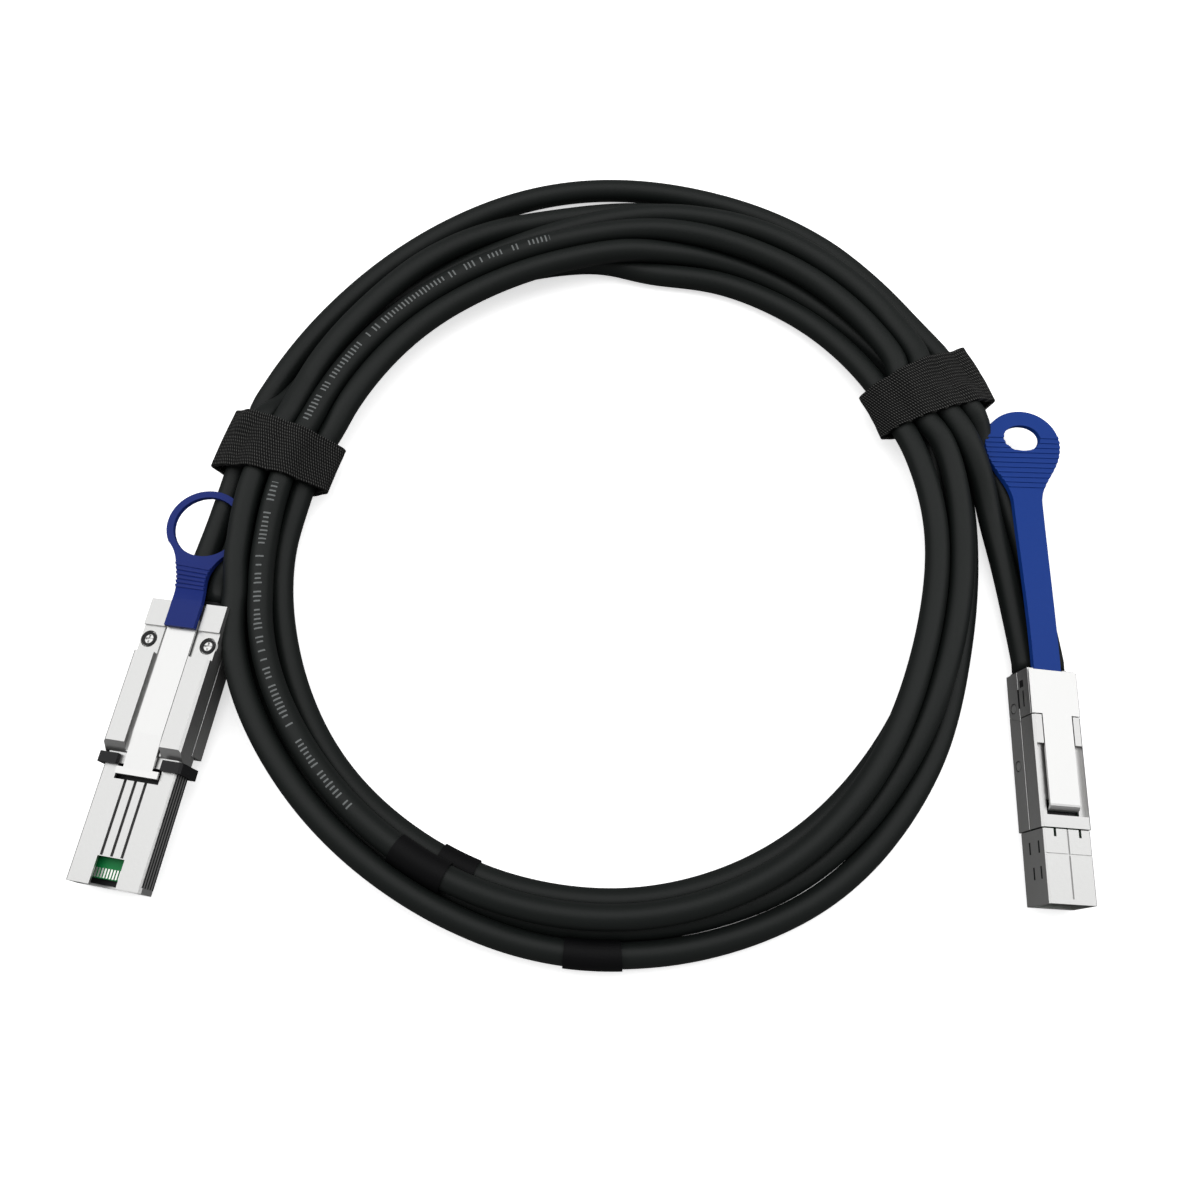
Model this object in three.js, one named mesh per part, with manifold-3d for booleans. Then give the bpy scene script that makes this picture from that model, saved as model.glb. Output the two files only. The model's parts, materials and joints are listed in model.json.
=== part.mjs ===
import * as THREE from 'three';
import { mergeVertices } from 'three/addons/utils/BufferGeometryUtils.js';
import Module from 'manifold-3d';

// A coiled external mini SAS cable: two round cables between a wide plug with a ring pull
// tab and a narrow high-density plug with a long pull tab. Millimetres, +Z up, lying on z = 0.

const wasm = await Module();
wasm.setup();

// Clearances shared by every fit
const GAP = 0.3;            // between two pieces that touch on the real cable
const RUN = 0.3;            // between a sliding piece and what it slides in
const CUT = 1;              // how far a cutting solid runs past the face that it opens
const SEAM_EDGE = 0.05;     // the sharp edge of a shell along its seam

// Cable
const CABLE_D = 6.5;
const CABLE_SIDES = 10;
const END_STEPS = 14;
const LAST_STRAIGHT = 3;

// Coil: outer and inner ovals of the bundle, and its two layers
const OUTER_OVAL = { x: 0, y: 21.7, a: 104.5, b: 115.8 };
const INNER_OVAL = { x: 2.6, y: 13.1, a: 85.7, b: 90.7 };
const COIL_HEIGHT = 12.1;
const COIL_STEPS = 96;
const COIL_CORNER_STEPS = 3;

// Hook-and-loop straps and bands
const STRAP_THICK = 1.3;
const STRAP_WIDTH = 15;
const STRAPS = {
  left_tie_strap: { angle: 168.5, outward: 0.8 },
  right_tie_strap: { angle: 20.5, outward: 3.2 },
};
const BAND_THICK = 0.7;
const BANDS = [
  { angle: 242, length: 16, top: [3.4, 10.6] },
  { angle: 245, length: 10, edge: 'inner' },
  { angle: 269, length: 13.5, edge: 'outer' },
];
const COIL_BASE = STRAP_THICK + GAP;

// Wide plug: y = 0 is its rear face, -y runs to the nose, z = 0 is its underside
const L = {
  place: [-104.4, -5.5], yaw: -11, roll: -11.5,
  width: 22, thick: 11.2, wall: 1.1, edge: 0.6,
  body: 38.5, shoulder: 2.5, shoulderDrop: 2.6, split: 5.4,
  blockLen: 7.2, blockDrop: 0.8, screwLen: 7.4, screwDrop: 1.5, screwX: 8.6,
  channel: 10, channelDepth: 2,
  noseWidth: 21, noseThick: 5.9, noseBase: 2.7, noseEnd: 73.4, noseWall: 0.7,
  gasketLen: 2.7, gasketThick: 1.1,
  slotWidth: 0.8, slotPitch: 2.9, slotEnd: 66.2, slotFront: 1.2,
  notchWidth: 7.6, notchLen: 7,
  cardThick: 1, cardWidth: 16.5, cardEnd: 71.5, cardStart: 21,
  holderStart: 34.5, holderEnd: 52,
  latchWidth: 8.3, latchThick: 0.6, latchSink: 1,
  bendShort: 3.1, latchReach: 6.1, latchRear: 7.2, latchTail: 4.5,
  hookWidth: 12, hookLen: 1.6, toothLen: 1.2, pegR: 1.2,
  cableX: 3.5, cableZ: 3.7, mouthLen: 2, mouthChamfer: 1.2, flangeEnd: 6.2, flangeLip: 1,
  cardGrip: 5,
  travel: 1.8,
};

// Screws of the wide plug
const SCREW = {
  headR: 2, headH: 0.9, shankR: 1.05, length: 6.5, bossR: 2.1, pillarR: 2.7,
  cross: 0.55, crossLen: 2.2, crossDepth: 0.5,
};

// Ring pull tab
const RING = {
  y: 22.6, outer: 10.4, inner: 8.6, thick: 1.3, frontWidth: 8.6, neckWidth: 7.9, neckY: 7,
  drop: 4.9, bendStart: -1, bendEnd: 12, swing: -4.2, ribs: 6, ribPitch: 1.35, ribHigh: 0.25, ribStart: 3.5,
};

// Room in the coil for the ring tab and for the wide plug's corner, in the plug's frame
const ROOM = { side: -6, floor: -6, ringSide: 10, ringFront: 8, ringTop: 9.2, plugRear: 11 };

// Narrow plug, in the same way
const R = {
  place: [112.5, -23.1], yaw: -1.9, roll: 13,
  width: 13.4, thick: 11.5, wall: 0.7, edge: 0.6, coverLen: 12, body: 40.4, split: 5.6,
  noseInset: 0.3, noseEnd: 58.6, noseWall: 0.7,
  troughDepth: 1.4, troughStart: 19.6, troughShort: 3, rim: 0.5,
  wellLen: 4, seamLean: 1.6, seamCut: 0.25,
  latchWidth: 8.1, latchThick: 0.6, latchShort: 4.2, latchCurl: 1.6, latchRear: 0.5,
  toothY: 3.6, toothLen: 0.9,
  tabX: -0.9,
  cardThick: 1, cardWidth: 9.6, cardEnd: 56.6, cardStart: 24, cardGap: 3.4,
  noseChamfer: 0.4, noseDrop: 0.4, seamWidth: 0.45, seamDepth: 0.35, seamShort: 1.2,
  crossFrom: 6.2, crossWidth: 0.4, crossDepth: 0.3, notchX: 3.4, notchWidth: 0.7, notchLen: 2.2,
  spacerShort: 9,
  cables: [[-2.8, 3.2], [3.3, 5.7]], mouthLen: 0.8,
  rivetR: 1.1, rivetY: [9, 24], rivetHead: 0.6,
};

// Both pull tabs are cut from a strip of this width, bent in steps of this length
const TAB_STOCK = 44;
const TAB_STEP = 1.5;

// Long pull tab
const TAB = {
  length: 75.4, shaft: 7.6, thick: 1.4, headWidth: 19.8, headLen: 25,
  holeWidth: 9.7, holeLen: 7.9, holeFromEnd: 8.2,
  entry: 6, drop: 2.5, bendStart: 2, bendEnd: 60, swing: 0.4,
  ribs: 11, ribPitch: 1.5, ribHigh: 0.25, ribFromEnd: 8.2,
};

// Cable ends between the coil and each plug's grommet, in the frame of the table
const LEFT_ENDS = [
  [[-98.8, 37.6, 4.95], [-100.4, 29, 4.3], [-102.9, 21, 3.5], [-105.7, 13.6, 3.6], [-107.4, 5, 4.2]],
  [[-92.2, 36, 4.95], [-93.6, 27.6, 4.8], [-96, 19.4, 3.8], [-99.1, 11.6, 3.6], [-100.6, 4, 4.8]],
];
const RIGHT_ENDS = [
  [[97.6, 50.5, 10.6], [100.1, 44, 10.2], [102.1, 37.5, 8.9], [104.1, 30, 6.1], [106.4, 20, 3.8],
    [108.6, 10.4, 3.6], [110, -6, 4]],
  [[101.1, 51, 4.9], [104.3, 44.5, 4.6], [109, 36.4, 3.7], [112.6, 25, 3.6], [115.3, 10, 3.6],
    [116.6, -6, 4.6]],
];

// Materials
const paint = (color, roughness, metalness) => (
  new THREE.MeshStandardMaterial({ color, roughness, metalness }));
const MATERIALS = {
  plating: () => paint(0xd4d4d2, 0.3, 0.9),
  spring: () => paint(0xe2e2e0, 0.25, 0.9),
  blueRing: () => paint(0x28378a, 0.45, 0),
  blueTab: () => paint(0x1f48a0, 0.45, 0),
  jacket: () => paint(0x1a1d1b, 0.45, 0),
  strap: () => paint(0x111213, 0.9, 0),
  tape: () => paint(0x0b0c0c, 0.6, 0),
  board: () => paint(0x0f6b35, 0.5, 0),
  insulator: () => paint(0x151515, 0.55, 0),
};

// Solids from closed meshes, and meshes from solids
function solid(geometry) {
  const bare = geometry.clone();
  for (const name of Object.keys(bare.attributes)) if (name !== 'position') bare.deleteAttribute(name);
  const merged = mergeVertices(bare, 1e-4);
  return new wasm.Manifold(new wasm.Mesh({
    numProp: 3,
    vertProperties: new Float32Array(merged.attributes.position.array),
    triVerts: new Uint32Array(merged.index.array),
  }));
}

function surface(body) {
  const mesh = body.getMesh();
  const geometry = new THREE.BufferGeometry();
  geometry.setAttribute('position', new THREE.BufferAttribute(mesh.vertProperties, 3));
  geometry.setIndex(new THREE.BufferAttribute(mesh.triVerts, 1));
  return geometry;
}

function reshape(geometry, move) {
  const spots = geometry.attributes.position;
  const p = new THREE.Vector3();
  for (let i = 0; i < spots.count; i++) {
    move(p.fromBufferAttribute(spots, i));
    spots.setXYZ(i, p.x, p.y, p.z);
  }
  return geometry;
}

function block([x0, x1], [y0, y1], [z0, z1]) {
  const geometry = new THREE.BoxGeometry(x1 - x0, y1 - y0, z1 - z0);
  geometry.translate((x0 + x1) / 2, (y0 + y1) / 2, (z0 + z1) / 2);
  return solid(geometry);
}

const centred = (width) => [-width / 2, width / 2];
const centredAt = (middle, size) => [middle - size / 2, middle + size / 2];

function rod(radius, [x, y], [z0, z1], sides = 20) {
  const geometry = new THREE.CylinderGeometry(radius, radius, z1 - z0, sides);
  geometry.rotateX(Math.PI / 2);
  geometry.translate(x, y, (z0 + z1) / 2);
  return solid(geometry);
}

// A side outline of (y, z) points, drawn out across x
function sideProfile(points, [x0, x1]) {
  const outline = new THREE.Shape(points.map(([y, z]) => new THREE.Vector2(y, z)));
  const geometry = new THREE.ExtrudeGeometry(outline, { depth: x1 - x0, bevelEnabled: false });
  return solid(reshape(geometry, (p) => p.set(p.z + x0, p.x, p.y)));
}

// A plan outline, drawn up between two heights
function plan(shape, [z0, z1], curveSegments = 16) {
  const geometry = new THREE.ExtrudeGeometry(shape, { depth: z1 - z0, bevelEnabled: false, curveSegments });
  geometry.translate(0, 0, z0);
  return solid(geometry);
}

// The chamfered section of a shell, drawn out along y
function chamferedBar(width, [z0, z1], [y0, y1], chamfer, lower = chamfer) {
  const w = width / 2;
  const outline = new THREE.Shape([
    [-w + lower, z0], [w - lower, z0], [w, z0 + lower], [w, z1 - chamfer],
    [w - chamfer, z1], [-w + chamfer, z1], [-w, z1 - chamfer], [-w, z0 + lower],
  ].map(([x, z]) => new THREE.Vector2(x, z)));
  const geometry = new THREE.ExtrudeGeometry(outline, { depth: y1 - y0, bevelEnabled: false });
  return solid(reshape(geometry, (p) => p.set(p.x, y1 - p.z, p.y)));
}

const joined = (pieces) => pieces.reduce((whole, piece) => whole.add(piece));
const without = (whole, pieces) => pieces.reduce((rest, piece) => rest.subtract(piece), whole);

const model = new THREE.Group();
const table = new THREE.Group();
model.add(table);

function add(parent, name, body, material) {
  const mesh = new THREE.Mesh(body.isBufferGeometry ? body : surface(body), material());
  mesh.name = name;
  parent.add(mesh);
  return mesh;
}

// A plug's own frame on the table: it leans on the lower edge of its body
function plugFrame(plug) {
  const frame = new THREE.Group();
  const lean = THREE.MathUtils.degToRad(plug.roll);
  frame.rotation.set(0, lean, THREE.MathUtils.degToRad(plug.yaw), 'ZYX');
  frame.position.set(plug.place[0], plug.place[1], (plug.width / 2 - plug.edge) * Math.sin(Math.abs(lean)));
  frame.updateMatrix();
  table.add(frame);
  return frame;
}

// Pull tabs: a thin strip that bends down and levels out behind its plug
const ease = (t) => { const u = Math.min(Math.max(t, 0), 1); return u * u * (3 - 2 * u); };

function pullStrip(tab, plug, outline, [front, rear], top, ribLine) {
  const bend = (y) => ease((y - tab.bendStart) / (tab.bendEnd - tab.bendStart));
  const stock = centred(TAB_STOCK);
  const stations = [];
  for (let y = front; y < rear; y += TAB_STEP) stations.push(y);
  stations.push(rear);
  const height = (y) => top - tab.drop * bend(y);
  const lower = stations.map((y) => [y, height(y) - tab.thick]);
  const upper = stations.map((y) => [y, height(y)]);
  let strip = sideProfile([...lower, ...upper.reverse()], stock);
  for (let i = 0; i < tab.ribs; i++) {
    const y = ribLine - i * tab.ribPitch;
    const rib = [[y, height(y) - tab.thick / 2], [y + tab.ribPitch / 2, height(y) - tab.thick / 2],
      [y + tab.ribPitch / 2, height(y) + tab.ribHigh], [y, height(y) + tab.ribHigh]];
    strip = strip.add(sideProfile(rib, stock));
  }
  const body = strip.intersect(plan(outline, [-plug.thick, 2 * plug.thick], 20));
  const lean = Math.tan(THREE.MathUtils.degToRad(plug.roll));
  return reshape(surface(body), (p) => {
    p.x += tab.swing * bend(p.y);
    p.z += p.x * lean * bend(p.y);
  });
}

// Wide plug
function leftShells(frame) {
  const { width, thick, wall, body, split, shoulder, shoulderDrop } = L;
  const inside = width - 2 * wall;
  const noseHole = block(centred(L.noseWidth + 2 * GAP), [-body - CUT, -body + 2 * wall],
    [L.noseBase - GAP, L.noseBase + L.noseThick + GAP]);
  const relief = block(centred(4 * L.cableX + 2 * GAP), [-2 * wall, CUT],
    centredAt(L.cableZ, CABLE_D + 2 * GAP));
  const cavity = block(centred(inside), [-body + wall, -2 * wall + 2 * GAP],
    [wall, thick - wall - L.channelDepth]);
  const bosses = [-1, 1].map((side) => rod(SCREW.bossR, [side * L.screwX, screwY()], [0.5, split]));
  const lower = joined([
    chamferedBar(width, [0, split], [-body, 0], SEAM_EDGE, L.edge).subtract(cavity),
    ...bosses,
  ]);
  const shank = (side) => rod(SCREW.shankR + RUN, [side * L.screwX, screwY()], [wall, thick + CUT]);
  add(frame, 'left_bottom_shell', without(lower, [noseHole, relief, shank(-1), shank(1)]), MATERIALS.plating);

  const y1 = -L.blockLen;
  const y2 = y1 - L.screwLen;
  const blocks = block(centred(width + CUT), [y1, CUT], [thick - L.blockDrop, thick + CUT]);
  const shelf = block(centred(width + CUT), [y2, y1], [thick - L.screwDrop, thick + CUT]);
  const front = -body - shoulder;
  const channel = block(centred(L.channel), [front - CUT, CUT], [thick - L.channelDepth, thick + CUT]);
  const slope = sideProfile([[-body, thick + CUT], [-body, thick], [front, thick - shoulderDrop],
    [front - CUT, thick - shoulderDrop], [front - CUT, thick + CUT]], centred(width + CUT));
  const frontBar = chamferedBar(width, [split + GAP, thick], [front, -body + wall], L.edge, SEAM_EDGE);
  const upperBar = chamferedBar(width, [split + GAP, thick], [-body, 0], L.edge, SEAM_EDGE).subtract(cavity);
  const heads = [-1, 1].map((side) => rod(SCREW.headR + RUN, [side * L.screwX, screwY()],
    [thick - L.screwDrop - SCREW.headH - GAP, thick + CUT]));
  const pillars = [-1, 1].map((side) => rod(SCREW.pillarR, [side * L.screwX, screwY()],
    [split + GAP, thick - L.screwDrop - 0.2]));
  const upper = joined([upperBar, frontBar, ...pillars]);
  const passY = [front - CUT, -body + 2 * wall];
  const nosePass = block(centred(L.noseWidth + 2 * GAP), passY, [0, noseTop() + GAP]);
  const latchPass = block(centred(L.latchWidth + 2 * RUN), passY, [noseTop(), thick + CUT]);
  const cuts = [noseHole, nosePass, latchPass, relief, blocks, shelf, channel, slope, ...heads,
    shank(-1), shank(1)];
  add(frame, 'left_top_shell', without(upper, cuts), MATERIALS.plating);
}

const screwY = () => -L.blockLen - L.screwLen / 2;
const noseTop = () => L.noseBase + L.noseThick;
const latchBend = () => L.body - L.bendShort;
const latchEnd = () => L.body + L.latchReach;

function leftNose(frame) {
  const start = -L.body + 2 * L.wall - GAP;
  const end = -L.noseEnd;
  const top = noseTop();
  const roof = [top - L.noseWall - CUT, top + CUT];
  const inner = block(centred(L.noseWidth - 2 * L.noseWall), [end - CUT, start + CUT],
    [L.noseBase + L.noseWall, top - L.noseWall]);
  const hookFront = -latchEnd() - L.hookLen;
  const crossSlot = block(centred(L.hookWidth + 2 * RUN),
    [hookFront - L.slotFront, hookFront + L.travel + L.latchThick + RUN], roof);
  const slots = [-1, 0, 1].map((i) => (
    block(centredAt(i * L.slotPitch, L.slotWidth), [-L.slotEnd, hookFront], roof)));
  const notch = block(centred(L.notchWidth), [end - CUT, end + L.notchLen], roof);
  const shell = chamferedBar(L.noseWidth, [L.noseBase, top], [end, start], L.edge).subtract(inner);
  add(frame, 'left_nose_shell', without(shell, [crossSlot, ...slots, notch]), MATERIALS.plating);

  const cardZ = L.noseBase + L.noseThick / 2;
  const card = block(centred(L.cardWidth), [-L.cardEnd, -L.cardStart], centredAt(cardZ, L.cardThick));
  const cardRoom = block(centred(L.cardWidth + 2 * GAP), [-L.cardEnd, 0],
    centredAt(cardZ, L.cardThick + 2 * GAP));
  const holder = block(centred(L.noseWidth - 2 * L.noseWall - 2 * GAP), [-L.holderEnd, -L.holderStart],
    [L.noseBase + L.noseWall + GAP, top - L.noseWall - L.toothLen - GAP]);
  add(frame, 'left_paddle_card', card, MATERIALS.board);
  add(frame, 'left_card_holder', holder.subtract(cardRoom), MATERIALS.insulator);

  const gasketY = [-L.body - L.shoulder - GAP - L.gasketLen, -L.body - L.shoulder - GAP];
  const ringOut = chamferedBar(L.noseWidth + 2 * (GAP + L.gasketThick),
    [L.noseBase - GAP - L.gasketThick, top + GAP + L.gasketThick], gasketY, L.edge);
  const ringIn = block(centred(L.noseWidth + 2 * GAP), [gasketY[0] - CUT, gasketY[1] + CUT],
    [L.noseBase - GAP, top + GAP]);
  const hookPass = block(centred(L.hookWidth + 2 * RUN), [gasketY[0] - CUT, gasketY[1] + CUT],
    [top, L.thick + CUT]);
  add(frame, 'left_gasket', without(ringOut, [ringIn, hookPass]), MATERIALS.insulator);
}

function leftRear(frame) {
  const cardZ = L.noseBase + L.noseThick / 2;
  const roofZ = [L.wall + GAP, L.thick - L.wall - L.channelDepth - GAP];
  const flangeY = [-L.flangeEnd, -2 * L.wall + GAP];
  const solder = block(centred(2 * (L.screwX - SCREW.pillarR - GAP)),
    [-L.cardStart - L.cardGrip, flangeY[0] - GAP], roofZ);
  const cardRoom = block(centred(L.cardWidth + 2 * GAP), [-L.cardEnd, -L.cardStart + GAP],
    centredAt(cardZ, L.cardThick + 2 * GAP));
  add(frame, 'left_overmould_block', solder.subtract(cardRoom), MATERIALS.insulator);

  const mouth = chamferedBar(4 * L.cableX - GAP, centredAt(L.cableZ, CABLE_D), [-2 * L.wall, L.mouthLen],
    L.mouthChamfer);
  const flange = block(centred(4 * L.cableX + 2 * L.flangeLip), flangeY, roofZ);
  add(frame, 'left_cable_grommet', mouth.add(flange), MATERIALS.insulator);
}

function leftScrews(frame) {
  const top = L.thick - L.screwDrop - 0.1;
  [-1, 1].forEach((side, i) => {
    const at = [side * L.screwX, screwY()];
    const head = rod(SCREW.headR, at, [top - SCREW.headH, top], 24);
    const shank = rod(SCREW.shankR, at, [top - SCREW.length, top - SCREW.headH / 2]);
    const arm = (a, b) => block([at[0] - a / 2, at[0] + a / 2], [at[1] - b / 2, at[1] + b / 2],
      [top - SCREW.crossDepth, top + CUT]);
    const cross = [arm(SCREW.cross, SCREW.crossLen), arm(SCREW.crossLen, SCREW.cross)];
    add(frame, `left_screw_${i + 1}`, without(head.add(shank), cross), MATERIALS.spring);
  });
}

// Steel strip of the wide plug: flat along the channel, then sloping down to a wide hook
function leftLatch(frame) {
  const top = L.thick - L.latchSink;
  const t = L.latchThick;
  const low = noseTop() + GAP;
  const strip = sideProfile([
    [-L.latchTail, top], [-L.latchTail, top - t], [-latchBend(), top - t],
    [-latchEnd(), low], [-latchEnd(), low + t], [-latchBend(), top],
  ], centred(L.latchWidth));
  const hook = block(centred(L.hookWidth), [-latchEnd() - L.hookLen, -latchEnd() + 0.2], [low, low + t]);
  const tooth = block(centred(L.hookWidth), [-latchEnd() - L.hookLen, -latchEnd() - L.hookLen + t],
    [low - L.toothLen, low + t]);
  const pegAt = [0, -(L.latchRear + L.latchTail) / 2];
  const pegHole = rod(L.pegR + GAP, pegAt, [top - t - CUT, top + CUT]);
  add(frame, 'left_latch_plate', joined([strip, hook, tooth]).subtract(pegHole), MATERIALS.spring);

  const under = top + GAP;
  const grip = pullStrip(RING, L, ringOutline(), [-L.latchRear, RING.y + RING.outer], under + RING.thick,
    RING.neckY + RING.ribStart);
  const peg = rod(L.pegR, pegAt, [top - t, under + RING.thick / 2]);
  add(frame, 'left_pull_ring', solid(grip).add(peg), MATERIALS.blueRing);
}

function ringOutline() {
  const shape = new THREE.Shape();
  const f = RING.frontWidth / 2;
  const n = RING.neckWidth / 2;
  const meet = 0.62;
  const mx = RING.outer * Math.cos(meet);
  const my = RING.y - RING.outer * Math.sin(meet);
  shape.moveTo(f, -L.latchRear);
  shape.lineTo(f, 0);
  shape.quadraticCurveTo(n, RING.neckY - 3, n, RING.neckY);
  shape.quadraticCurveTo(n + 0.6, my - 3, mx, my);
  shape.absarc(0, RING.y, RING.outer, -meet, Math.PI + meet, false);
  shape.quadraticCurveTo(-n - 0.6, my - 3, -n, RING.neckY);
  shape.quadraticCurveTo(-n, RING.neckY - 3, -f, 0);
  shape.lineTo(-f, -L.latchRear);
  shape.closePath();
  shape.holes.push(new THREE.Path().absarc(0, RING.y, RING.inner, 0, 2 * Math.PI, true));
  return shape;
}

// Narrow plug
function rightShells(frame) {
  const { width, thick, wall, edge, body, split, coverLen } = R;
  const room = (y0, y1) => block(centred(width - 2 * wall), [y0, y1], [wall, cavityTop()]);
  const seam = sideProfile([[-coverLen + R.seamLean, -CUT], [-coverLen - R.seamLean, split + CUT],
    [-coverLen - R.seamLean + GAP, split + CUT], [-coverLen + R.seamLean + GAP, -CUT]], centred(width + CUT));
  const tabSlot = block(centredAt(R.tabX, TAB.shaft + 2 * RUN), [-TAB.entry - RUN, CUT],
    [tabTop() - TAB.thick - RUN, thick + CUT]);
  const cover = chamferedBar(width, [split + GAP, coverTop()], [-coverLen, 0], SEAM_EDGE, SEAM_EDGE);
  add(frame, 'right_rear_cover', without(cover, [room(-coverLen - CUT, CUT), tabSlot]), MATERIALS.plating);

  const trough = block(centred(width - 2 * R.rim), [-troughEnd(), -R.troughStart],
    [thick - R.troughDepth, thick + CUT]);
  const latchWay = block(centred(R.latchWidth + 2 * RUN), [-troughEnd(), -coverLen + CUT],
    [thick - R.latchThick - GAP, thick + CUT]);
  const latchWell = block(centred(R.latchWidth + 2 * RUN), [-troughEnd(), -troughEnd() + R.wellLen],
    [cavityTop() - CUT, thick + CUT]);
  const top = chamferedBar(width, [split + GAP, thick], [-body, -coverLen - GAP], edge, SEAM_EDGE);
  const topCuts = [room(-body - CUT, -coverLen + CUT), trough, latchWay, latchWell];
  add(frame, 'right_top_shell', without(top, topCuts), MATERIALS.plating);

  const low = chamferedBar(width, [0, split], [-body, 0], SEAM_EDGE, edge);
  const core = block(centred(width - 2 * R.seamCut), [-body, 0], [-CUT, split + CUT]);
  const lowCuts = [room(-body - CUT, CUT), seam.subtract(core), ...rivetHoles()];
  add(frame, 'right_bottom_shell', without(low, lowCuts), MATERIALS.plating);
}

const coverTop = () => R.thick - R.latchThick - GAP;
const tabTop = () => coverTop();
const cavityTop = () => R.thick - R.wall - R.troughDepth;
const troughEnd = () => R.body - R.troughShort;
const tongueEnd = () => R.body - R.latchShort;

function rivetHoles() {
  return R.rivetY.map((y) => sideRod(R.rivetR + GAP, [-R.width / 2 - CUT, -R.width / 2 + R.wall + CUT], y));
}

function sideRod(radius, [x0, x1], y) {
  const geometry = new THREE.CylinderGeometry(radius, radius, x1 - x0, 16);
  geometry.rotateZ(Math.PI / 2);
  geometry.translate((x0 + x1) / 2, -y, R.split / 2);
  return solid(geometry);
}

function rightRivets(frame) {
  const outside = -R.width / 2;
  const inside = outside + R.wall + GAP;
  R.rivetY.forEach((y, i) => {
    const pin = sideRod(R.rivetR, [outside + 0.1, inside + R.rivetHead / 2], y);
    const head = sideRod(R.rivetR + GAP + R.rivetHead, [inside, inside + R.rivetHead], y);
    add(frame, `right_side_rivet_${i + 1}`, pin.add(head), MATERIALS.spring);
  });
}

function rightNose(frame) {
  const width = R.width - 2 * R.noseInset;
  const z = [R.noseInset + R.noseDrop, R.thick - R.noseInset];
  const y = [-R.noseEnd, -R.body - GAP];
  const inner = block(centred(width - 2 * R.noseWall), [y[0] - CUT, y[1] + CUT],
    [z[0] + R.noseWall, z[1] - R.noseWall]);
  const seam = block(centred(R.seamWidth), [-R.noseEnd + R.seamShort, -R.body + CUT],
    [z[1] - R.seamDepth, z[1] + CUT]);
  const crossY = -R.body - R.crossFrom;
  const cross = block(centred(width + CUT), [crossY - R.crossWidth, crossY],
    [z[1] - R.crossDepth, z[1] + CUT]);
  const notches = [-1, 1].map((side) => block(centredAt(side * R.notchX, R.notchWidth),
    [-R.body - R.notchLen, -R.body + CUT], [z[1] - R.noseWall - CUT, z[1] + CUT]));
  const shell = chamferedBar(width, z, y, R.noseChamfer).subtract(inner);
  add(frame, 'right_nose_shell', without(shell, [seam, cross, ...notches]), MATERIALS.plating);

  const middle = (z[0] + z[1]) / 2;
  const level = R.cardGap / 2 + R.cardThick / 2;
  const cardY = [-R.cardEnd, -R.cardStart];
  for (const [name, at] of [['lower', middle - level], ['upper', middle + level]]) {
    const card = block(centred(R.cardWidth), cardY, centredAt(at, R.cardThick));
    add(frame, `right_paddle_card_${name}`, card, MATERIALS.board);
  }
  const spacer = block(centred(R.cardWidth), [-R.cardEnd + R.spacerShort, -R.cardStart - CUT],
    centredAt(middle, R.cardGap - 2 * GAP));
  add(frame, 'right_card_spacer', spacer, MATERIALS.insulator);
}

function rightRear(frame) {
  const z = [R.wall + GAP, tabTop() - TAB.thick - 2 * GAP];
  const overmould = block(centred(R.cardWidth), [-R.cardStart + GAP, -TAB.entry], z);
  add(frame, 'right_overmould_block', overmould, MATERIALS.insulator);
  const plugIn = block(centred(R.width - 2 * R.wall - 2 * GAP), [-TAB.entry + GAP, R.mouthLen], z);
  add(frame, 'right_cable_grommet', plugIn, MATERIALS.insulator);
}

// Steel tongue of the narrow plug, with an end that curls down over the bar
function rightLatch(frame) {
  const top = R.thick;
  const t = R.latchThick;
  const steps = 5;
  const curl = [];
  for (let i = 0; i <= steps; i++) {
    const a = (i / steps) * (Math.PI / 2);
    curl.push([-tongueEnd() + R.latchCurl * (1 - Math.sin(a)), top - R.latchCurl * (1 - Math.cos(a))]);
  }
  const inner = R.latchCurl - t;
  const under = [];
  for (let i = steps; i >= 0; i--) {
    const a = (i / steps) * (Math.PI / 2);
    under.push([-tongueEnd() + R.latchCurl - inner * Math.sin(a), top - R.latchCurl + inner * Math.cos(a)]);
  }
  const tongue = sideProfile([[-R.coverLen + 0.2, top], ...curl, ...under, [-R.coverLen + 0.2, top - t]],
    centred(R.latchWidth));
  const hood = chamferedBar(R.width, [top - t, top], [-R.coverLen, -R.latchRear], t / 2, SEAM_EDGE);
  const tooth = block(centredAt(R.tabX, TAB.shaft / 2), centredAt(-R.toothY, t),
    [top - t - GAP - R.toothLen, top - t / 2]);
  add(frame, 'right_latch_tongue', joined([hood, tongue, tooth]), MATERIALS.spring);

  const grip = pullStrip(TAB, R, tabOutline(), [-TAB.entry, TAB.length], tabTop(),
    TAB.length - TAB.ribFromEnd);
  const pocket = block(centredAt(R.tabX, TAB.shaft / 2 + 2 * GAP), centredAt(-R.toothY, t + 2 * GAP),
    [tabTop() - R.toothLen - GAP, tabTop() + CUT]);
  add(frame, 'right_pull_tab', solid(grip).subtract(pocket), MATERIALS.blueTab);
}

function tabOutline() {
  const shape = new THREE.Shape();
  const s = TAB.shaft / 2;
  const w = TAB.headWidth / 2;
  const x = R.tabX;
  const headY = TAB.length - w;
  const neckY = TAB.length - TAB.headLen;
  shape.moveTo(x + s, -TAB.entry);
  shape.lineTo(x + s, neckY - 3);
  shape.bezierCurveTo(x + s, neckY + 4, x + w, neckY + 7, x + w, headY);
  shape.absarc(x, headY, w, 0, Math.PI, false);
  shape.bezierCurveTo(x - w, neckY + 7, x - s, neckY + 4, x - s, neckY - 3);
  shape.lineTo(x - s, -TAB.entry);
  shape.closePath();
  const hole = new THREE.Path();
  hole.absellipse(x, TAB.length - TAB.holeFromEnd, TAB.holeWidth / 2, TAB.holeLen / 2, 0, 2 * Math.PI, true);
  shape.holes.push(hole);
  return shape;
}

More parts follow.
